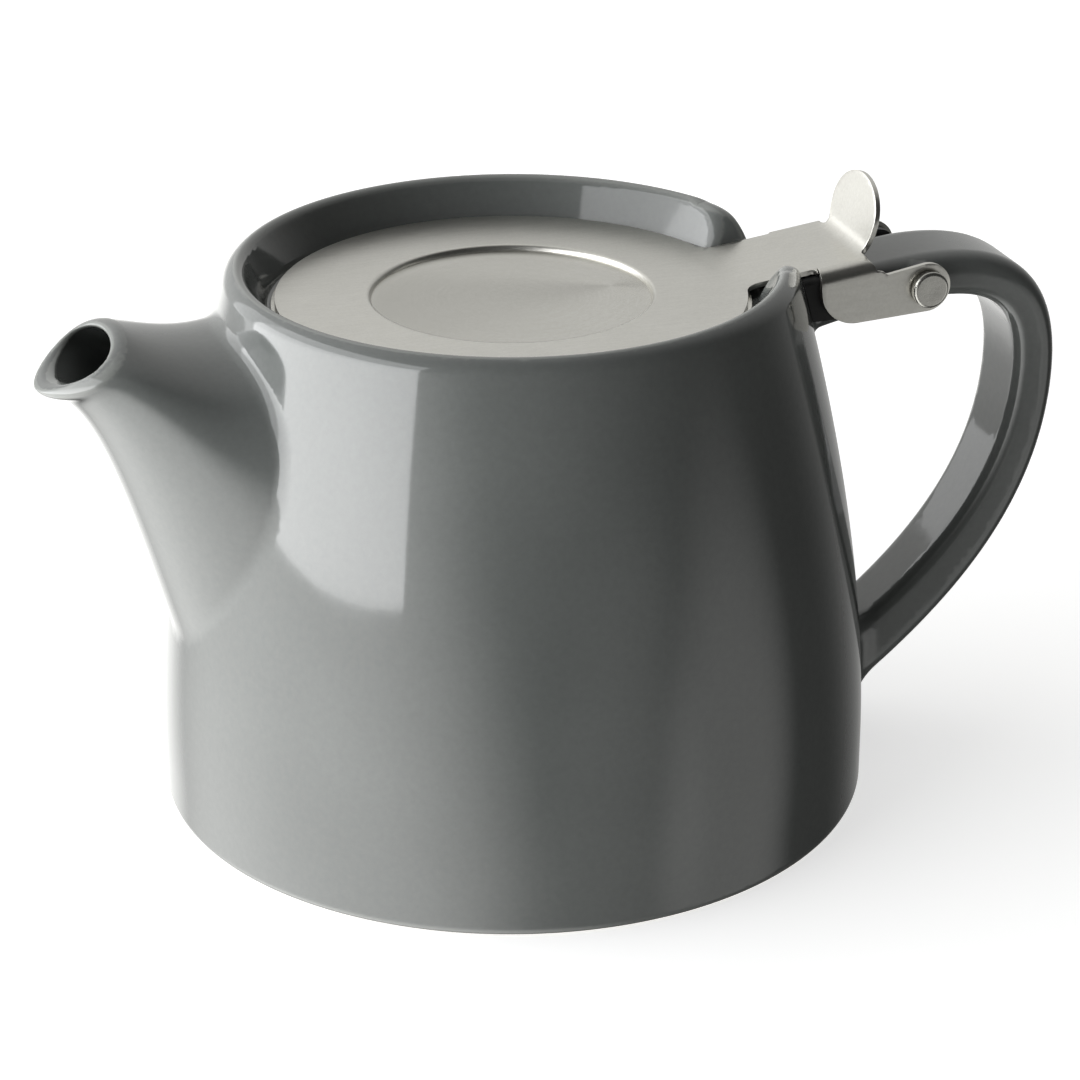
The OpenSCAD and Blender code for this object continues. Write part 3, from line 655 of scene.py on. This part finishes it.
# Turned pieces
def lathe(name, profile, steps=128, sharp=35):
    """A closed profile of (radius, height) points turned about Z."""
    n = len(profile)
    a = np.linspace(0, 2 * math.pi, steps, endpoint=False)
    pts = [(r * math.cos(t), r * math.sin(t), z) for t in a for r, z in profile]
    faces = []
    for i in range(steps):
        for k in range(n):
            j, m = (i + 1) % steps, (k + 1) % n
            if profile[k][0] < 1e-6 and profile[m][0] < 1e-6:
                continue
            faces.append((i * n + k, j * n + k, j * n + m, i * n + m))
    ob = mesh_object(name, pts, faces)
    me = ob.data
    bm = bmesh.new()
    bm.from_mesh(me)
    bmesh.ops.remove_doubles(bm, verts=bm.verts, dist=1e-6)
    bmesh.ops.recalc_face_normals(bm, faces=bm.faces)
    for e in bm.edges:
        if len(e.link_faces) == 2 and e.calc_face_angle(0) > math.radians(sharp):
            e.smooth = False
    bm.to_mesh(me)
    bm.free()
    return ob


def place(ob, matrix):
    ob.data.transform(matrix)
    return ob


def rounded(points, radius, n=4):
    """An open profile with its inner corners rounded."""
    out = [points[0]]
    for a, b, c in zip(points, points[1:], points[2:]):
        a, b, c = np.array(a), np.array(b), np.array(c)
        r = min(radius, np.linalg.norm(a - b) / 2.05, np.linalg.norm(c - b) / 2.05)
        p, q = b + (a - b) / np.linalg.norm(a - b) * r, b + (c - b) / np.linalg.norm(c - b) * r
        out += [tuple(bezier([p, b, q], t)) for t in np.linspace(0, 1, n + 1)]
    return out + [points[-1]]


pin_far = CHEEK_IN + SHEET
across = Matrix.Translation(Vector((PIN_X, 0, PIN_Z)) * MM) @ Matrix.Rotation(math.radians(90), 4, "X")


def build_pin():
    head, neck, top = 3.0, 2.25, 1.7
    end = -2 * pin_far
    profile = rounded([(0, end - 0.9), (1.2, end - 0.9), (1.2, end), (1.5, end), (1.5, 0),
                       (neck, 0), (neck, 0.4), (head, 0.4), (head, top - 0.3),
                       (head - 0.4, top), (0.5, top - 0.06), (0, top - 0.06)], 0.2)
    return place(lathe("pin_turned", profile, 96), across @ Matrix.Translation((0, 0, pin_far * MM)))


def build_nut():
    profile = rounded([(0, 0.92), (1.2, 0.92), (1.2, 0.0), (3.0, 0.0), (3.0, 1.05), (0, 1.3)], 0.3)
    ob = lathe("nut_turned", profile, 96)
    at_pin = Matrix.Translation(Vector((PIN_X, 0, PIN_Z)) * MM)
    far_side = at_pin @ Matrix.Rotation(math.radians(-90), 4, "X")
    return place(ob, far_side @ Matrix.Translation((0, 0, pin_far * MM)))


def build_screen():
    """The infuser's wall with its fine holes, row against row shifted by half a cell."""
    low, high, r_out, t = 23.3, 69.3, 30.5, 0.6
    round_n, rows, margin = (72), (17), 3.0
    cell_h = (high - low - 2 * margin) / rows
    hole = 0.3
    shape = [(-1, -1), (0, -1), (1, -1), (1, 0), (1, 1), (0, 1), (-1, 1), (-1, 0)]
    pts, faces = [], []

    def spot(u, z, depth):
        a = 2 * math.pi * u / round_n
        r = r_out - depth
        return (r * math.cos(a), r * math.sin(a), z)

    for row in range(rows):
        zc = low + margin + (row + 0.5) * cell_h
        for k in range(round_n):
            uc = k + 0.5 * (row % 2)
            at = len(pts)
            for depth in (0, t):
                pts += [spot(uc + 0.5 * dx, zc + 0.5 * dz * cell_h, depth) for dx, dz in shape]
                for dx, dz in shape:
                    m = math.hypot(dx, dz)
                    pts.append(spot(uc + hole * dx / m, zc + hole * cell_h * dz / m, depth))
            for i in range(8):
                j = (i + 1) % 8
                faces.append((at + i, at + j, at + 8 + j, at + 8 + i))
                faces.append((at + 16 + j, at + 16 + i, at + 24 + i, at + 24 + j))
                faces.append((at + 8 + i, at + 8 + j, at + 24 + j, at + 24 + i))
    for z0, z1 in ((low, low + margin), (high - margin, high)):
        n = 2 * round_n
        at = len(pts)
        for z in (z0, z1):
            for depth in (0, t):
                pts += [spot(0.5 * k, z, depth) for k in range(n)]
        for k in range(n):
            j = (k + 1) % n
            faces.append((at + k, at + j, at + 2 * n + j, at + 2 * n + k))
            faces.append((at + n + j, at + n + k, at + 3 * n + k, at + 3 * n + j))
            end = 0 if z0 == low else 2 * n
            faces.append((at + end + j, at + end + k, at + end + n + k, at + end + n + j))
    return mesh_object("infuser_mesh", pts, faces)


def build_collar():
    neck, screen, sheet = 33.6, 30.5, 0.8
    flange, grip_low, grip_high = 37.5, 67.3, 71.8
    outer = [(flange, FLANGE_Z - 0.1), (flange, LEDGE_Z), (neck, LEDGE_Z), (neck, LEDGE_Z - 3),
             (screen + sheet, grip_high), (screen + sheet, grip_low), (screen, grip_low), (screen, grip_high),
             (neck - sheet, LEDGE_Z - 3), (neck - sheet, LEDGE_Z), (neck - sheet * 1.3, FLANGE_Z),
             (flange - 0.1, FLANGE_Z)]
    return lathe("collar_drawn", rounded(outer, 0.5), 180)


# Materials
class Nodes:
    def __init__(self, name):
        self.mat = bpy.data.materials.new(name)
        self.mat.use_nodes = True
        self.tree = self.mat.node_tree
        self.shader = self.tree.nodes["Principled BSDF"]

    def new(self, kind, **values):
        node = self.tree.nodes.new(kind)
        for key, value in values.items():
            if key in node.inputs:
                node.inputs[key].default_value = value
            else:
                setattr(node, key, value)
        return node

    def link(self, a, b):
        self.tree.links.new(a, b)

    def maths(self, op, a, b=0.5, c=0.5):
        node = self.new("ShaderNodeMath", operation=op)
        for k, v in enumerate((a, b, c)):
            if hasattr(v, "links"):
                self.link(v, node.inputs[k])
            else:
                node.inputs[k].default_value = v
        return node.outputs[0]

    def ramp(self, value, stops, ease="LINEAR"):
        node = self.new("ShaderNodeValToRGB")
        node.color_ramp.interpolation = ease
        while len(node.color_ramp.elements) < len(stops):
            node.color_ramp.elements.new(0.5)
        for el, (at, colour) in zip(node.color_ramp.elements, stops):
            el.position = at
            el.color = (*colour, 1) if len(colour) == 3 else colour
        self.link(value, node.inputs[0])
        return node.outputs[0]

    def noise(self, vector, scale, detail=3.0, rough=0.5):
        node = self.new("ShaderNodeTexNoise", Scale=scale, Detail=detail, Roughness=rough)
        self.link(vector, node.inputs["Vector"])
        return node.outputs[0]

    def bump(self, height, strength, distance):
        node = self.new("ShaderNodeBump", Strength=strength, Distance=distance)
        self.link(height, node.inputs["Height"])
        self.link(node.outputs[0], self.shader.inputs["Normal"])
        return node


def glaze():
    m = Nodes("grey_glaze")
    s = m.shader
    where = m.new("ShaderNodeTexCoord").outputs["Object"]
    parts = m.new("ShaderNodeSeparateXYZ")
    m.link(where, parts.inputs[0])
    cloud = m.noise(where, 26, 2.0)
    speck = m.noise(where, 900, 2.0, 0.6)
    base = m.ramp(cloud, [(0.3, (0.120, 0.127, 0.124)), (0.7, (0.141, 0.149, 0.145))])
    grain = m.ramp(speck, [(0.25, (0.86, 0.86, 0.86)), (0.75, (1.12, 1.12, 1.12))])
    tint = m.new("ShaderNodeMix", data_type="RGBA", blend_type="MULTIPLY")
    tint.inputs["Factor"].default_value = 0.35
    m.link(base, tint.inputs[6])
    m.link(grain, tint.inputs[7])
    # glaze runs thinner on sharp edges and shows the pale clay; the pale edges are also a painted highlight
    edge = m.new("ShaderNodeAttribute", attribute_name="thin_glaze_and_edge_highlight")
    thin_glaze_and_highlight = m.ramp(m.maths("ADD", edge.outputs["Fac"], m.maths("MULTIPLY", cloud, 0.2)),
                  [(0.45, (0, 0, 0)), (1.0, (1, 1, 1))], "EASE")
    pale = m.new("ShaderNodeMix", data_type="RGBA")
    pale.inputs[7].default_value = (0.36, 0.37, 0.35, 1)
    m.link(m.maths("MULTIPLY", thin_glaze_and_highlight, 0.35), pale.inputs[0])
    m.link(tint.outputs[2], pale.inputs[6])
    # bare clay under the foot
    ragged = m.maths("ADD", parts.outputs[2], m.maths("MULTIPLY", cloud, 0.0004))
    height_mm = m.maths("MULTIPLY", ragged, 1000)
    bare = m.ramp(height_mm, [(0.35, (1, 1, 1)), (0.6, (0, 0, 0))])
    clay = m.new("ShaderNodeMix", data_type="RGBA")
    clay.inputs[7].default_value = (0.46, 0.43, 0.38, 1)
    m.link(bare, clay.inputs[0])
    m.link(pale.outputs[2], clay.inputs[6])
    m.link(clay.outputs[2], s.inputs["Base Color"])
    rough = m.maths("MULTIPLY_ADD", m.noise(where, 140, 3.0), 0.05, 0.055)
    m.link(m.maths("MAXIMUM", rough, m.maths("MULTIPLY", bare, 0.85)), s.inputs["Roughness"])
    s.inputs["IOR"].default_value = 1.52
    s.inputs["Coat Weight"].default_value = 0.25
    s.inputs["Coat Roughness"].default_value = 0.03
    wave = m.noise(where, 45, 0.0)
    height = m.maths("MULTIPLY_ADD", speck, 0.015, wave)
    m.bump(height, 0.10, 0.0012)
    return m.mat


def steel(name, dish=False, dark=1.0, rough=0.3):
    m = Nodes(name)
    s = m.shader
    where = m.new("ShaderNodeTexCoord").outputs["Object"]
    s.inputs["Metallic"].default_value = 1.0
    stretch = m.new("ShaderNodeMapping")
    stretch.inputs["Scale"].default_value = (260, 1500, 1500)
    m.link(where, stretch.inputs[0])
    grain = m.noise(stretch.outputs[0], 1.0, 2.0, 0.6)
    fine = m.noise(where, 2300, 2.0, 0.6)
    cloud = m.noise(where, 45, 2.0)
    along = m.new("ShaderNodeCombineXYZ")
    along.inputs[0].default_value = 1.0
    tangent = along.outputs[0]
    if dish:
        parts = m.new("ShaderNodeSeparateXYZ")
        m.link(where, parts.inputs[0])
        square = [m.maths("POWER", parts.outputs[k], 2.0) for k in (0, 1)]
        r = m.maths("SQRT", m.maths("ADD", *square))
        ring_at = m.new("ShaderNodeCombineXYZ")
        m.link(m.maths("MULTIPLY", r, 1900.0), ring_at.inputs[0])
        turned = m.noise(ring_at.outputs[0], 1.0, 2.0)
        inside = m.maths("LESS_THAN", r, 0.0218)
        pick = m.new("ShaderNodeMix", data_type="FLOAT")
        m.link(inside, pick.inputs[0])
        m.link(grain, pick.inputs[2])
        m.link(turned, pick.inputs[3])
        grain = pick.outputs[0]
        round_way = m.new("ShaderNodeTangent", direction_type="RADIAL", axis="Z")
        way = m.new("ShaderNodeMix", data_type="VECTOR")
        m.link(inside, way.inputs[0])
        m.link(tangent, way.inputs[4])
        m.link(round_way.outputs[0], way.inputs[5])
        tangent = way.outputs[1]
        m.link(m.maths("MULTIPLY_ADD", inside, 0.35, 0.55), s.inputs["Anisotropic"])
    m.link(tangent, s.inputs["Tangent"])
    light = (0.69 * dark, 0.68 * dark, 0.64 * dark)
    deep = (0.60 * dark, 0.59 * dark, 0.55 * dark)
    mottle = m.maths("MULTIPLY_ADD", fine, 0.4, m.maths("MULTIPLY", grain, 0.3))
    tone = m.maths("MULTIPLY_ADD", cloud, 0.3, mottle)
    polish = m.maths("MULTIPLY_ADD", fine, 0.05, m.maths("MULTIPLY_ADD", grain, 0.05, rough - 0.05))
    # In the dish the steel is smoother, and its colour is darker by 0.08: painted shade for the dish's darker
    # reflections
    if dish:
        polish = m.maths("MULTIPLY_ADD", inside, -0.05, polish)
        tone = m.maths("MULTIPLY_ADD", inside, -0.08, tone)
    m.link(m.ramp(tone, [(0.36, deep), (0.64, light)]), s.inputs["Base Color"])
    m.link(polish, s.inputs["Roughness"])
    if not dish:
        s.inputs["Anisotropic"].default_value = 0.5
    m.bump(m.maths("ADD", grain, fine), 0.04, 0.0003)
    return m.mat


def dull(name, colour, rough, grain_scale):
    m = Nodes(name)
    where = m.new("ShaderNodeTexCoord").outputs["Object"]
    n = m.noise(where, grain_scale, 3.0)
    m.link(m.ramp(n, [(0.3, tuple(c * 0.8 for c in colour)), (0.7, tuple(c * 1.2 for c in colour))]),
           m.shader.inputs["Base Color"])
    m.link(m.maths("MULTIPLY_ADD", n, 0.15, rough - 0.07), m.shader.inputs["Roughness"])
    m.bump(n, 0.15, 0.0003)
    return m.mat


def dress(ob, mat):
    ob.data.materials.clear()
    ob.data.materials.append(mat)


glaze_mat = glaze()
lid_mat = steel("lid_steel", dish=True)
pin_mat = steel("pin_steel", dark=0.85, rough=0.26)
cup_mat = steel("infuser_steel", dark=1.05, rough=0.24)
nylon = dull("black_nylon", (0.03, 0.03, 0.032), 0.42, 700)
# Near-black rubber for the hinge cushion; its black also paints the deep shade under the lid's arm
rubber_and_painted_shade = dull("black_rubber_and_painted_shade", (0.012, 0.012, 0.012), 0.6, 900)

pieces = [
    (build_pot(), "teapot", ["pot"], "pot", glaze_mat),
    (build_lid(), "lid", ["lid_plate"], "lid_plate", lid_mat),
    (build_pin(), "lid", ["hinge_pin"], "hinge_pin", pin_mat),
    (build_nut(), "lid", ["pin_nut"], "pin_nut", pin_mat),
    (build_collar(), "teapot", ["infuser_collar"], "infuser_collar", cup_mat),
    (build_screen(), "teapot", ["infuser_screen"], "infuser_screen", cup_mat),
]
for ob, body, nodes, slot, mat in pieces:
    dress(ob, mat)
    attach(ob, body)
    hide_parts(*nodes)
# The hinge cushion gets the near-black rubber, which also stands in for the shade under the lid's arm
shown = {"bush_near": nylon, "bush_far": nylon, "hinge_cushion": rubber_and_painted_shade, "infuser_base": cup_mat}
for name, mat in shown.items():
    dress(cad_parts[name], mat)

# Floor, light and camera
TURN = math.radians(18.0)


def seen(right, away, up):
    """A point or direction given to the right of, away from and above the object as the camera sees it."""
    c, s = math.cos(-TURN), math.sin(-TURN)
    return Vector((right * c - away * s, right * s + away * c, up))


FAR = 4000
floor = mesh_object("floor", [(-FAR, -FAR, 0), (FAR, -FAR, 0), (FAR, FAR, 0), (-FAR, FAR, 0)], [(0, 1, 2, 3)])
floor_mat = Nodes("pale_floor")
floor_mat.shader.inputs["Base Color"].default_value = (0.75, 0.75, 0.75, 1)
floor_mat.shader.inputs["Roughness"].default_value = 0.8
floor_mat.shader.inputs["Emission Color"].default_value = (1, 1, 1, 1)
floor_mat.shader.inputs["Emission Strength"].default_value = 0.62
dress(floor, floor_mat.mat)
floor.visible_diffuse = False
floor.visible_glossy = False


def view_basis(yaw, pitch):
    back = Vector((math.sin(yaw) * math.cos(pitch), -math.cos(yaw) * math.cos(pitch), math.sin(pitch)))
    right = Vector((math.cos(yaw), math.sin(yaw), 0))
    return right, back.cross(right), back


def panel(name, at, target, size, radiance, colour):
    """A soft box of that radiance. Its width lies level."""
    data = bpy.data.lights.new(name, "AREA")
    data.shape = "RECTANGLE"
    data.size, data.size_y = size
    data.energy = radiance * math.pi * size[0] * size[1]
    data.color = colour
    ob = bpy.data.objects.new(name, data)
    ob.location = at
    ob.rotation_euler = (Vector(target) - Vector(at)).to_track_quat("-Z", "Y").to_euler()
    bpy.context.scene.collection.objects.link(ob)
    return ob


day = (0.98, 0.99, 1.0)
panel("window", seen(-0.98, -0.27, 0.22), seen(0, 0, 0.22), (1.7, 0.60), 4.5, day)
panel("window_top", seen(-0.98, -0.27, 0.80), seen(0, 0, 0.80), (1.7, 0.56), 2.3, day)
panel("window_back", seen(-1.33, 0.98, 0.5), seen(-0.35, 1.25, 0.5), (0.9, 1.16), 1.2, day)

world = bpy.data.worlds.new("studio")
world.use_nodes = True
tree = world.node_tree
toward = tree.nodes.new("ShaderNodeTexCoord").outputs["Generated"]


def glow(direction, lo, hi, strength):
    """Soft world light about a direction: none at a cosine of lo, all of it at hi."""
    dot = tree.nodes.new("ShaderNodeVectorMath")
    dot.operation = "DOT_PRODUCT"
    dot.inputs[1].default_value = Vector(direction).normalized()
    tree.links.new(toward, dot.inputs[0])
    span = tree.nodes.new("ShaderNodeMapRange")
    span.interpolation_type = "SMOOTHSTEP"
    tree.links.new(dot.outputs["Value"], span.inputs["Value"])
    for key, value in (("From Min", lo), ("From Max", hi), ("To Min", 0.0), ("To Max", strength)):
        span.inputs[key].default_value = value
    return span.outputs["Result"]


def add(a, b):
    node = tree.nodes.new("ShaderNodeMath")
    node.operation = "ADD"
    for k, v in enumerate((a, b)):
        if isinstance(v, float):
            node.inputs[k].default_value = v
        else:
            tree.links.new(v, node.inputs[k])
    return node.outputs[0]


glows = [
    (seen(-1, 0.1, 0.0), -0.1, 1.0, 0.48),  # the room on the left
    (seen(-0.1, 1, 0.55), 0.1, 0.95, 0.62),  # the wall behind, for the lid
    (seen(-0.75, -0.35, -0.7), 0.35, 0.95, 2.5),  # the lit table on the left
    (seen(-0.3, 0.86, -0.41), 0.9, 0.99, 1.0),  # the pale table behind, for the left outlines
    (seen(0.54, -0.73, -0.41), 0.88, 0.99, 0.3),  # the table in front, for the cheek
    (seen(0.87, -0.25, -0.41), 0.88, 0.99, 0.7),  # the table on the right, for the lower right side
]
total = 0.04
for terms in glows:
    total = add(glow(*terms), total)
tree.links.new(total, tree.nodes["Background"].inputs["Strength"])
tree.nodes["Background"].inputs["Color"].default_value = (1.0, 1.0, 0.98, 1)
bpy.context.scene.world = world

camera = bpy.data.cameras.new("camera")
camera.sensor_width = 36
camera.lens = 111.87
camera.clip_start = 0.05
cam = bpy.data.objects.new("camera", camera)
bpy.context.scene.collection.objects.link(cam)
right, up, back = view_basis(-0.009 - TURN, 0.421)
turned = Matrix((right, up, back)).transposed().to_4x4()
cam.matrix_world = Matrix.Translation((-0.1522, -0.4685, 0.2606)) @ turned
bpy.context.scene.camera = cam
bpy.context.scene.view_settings.view_transform = "Standard"
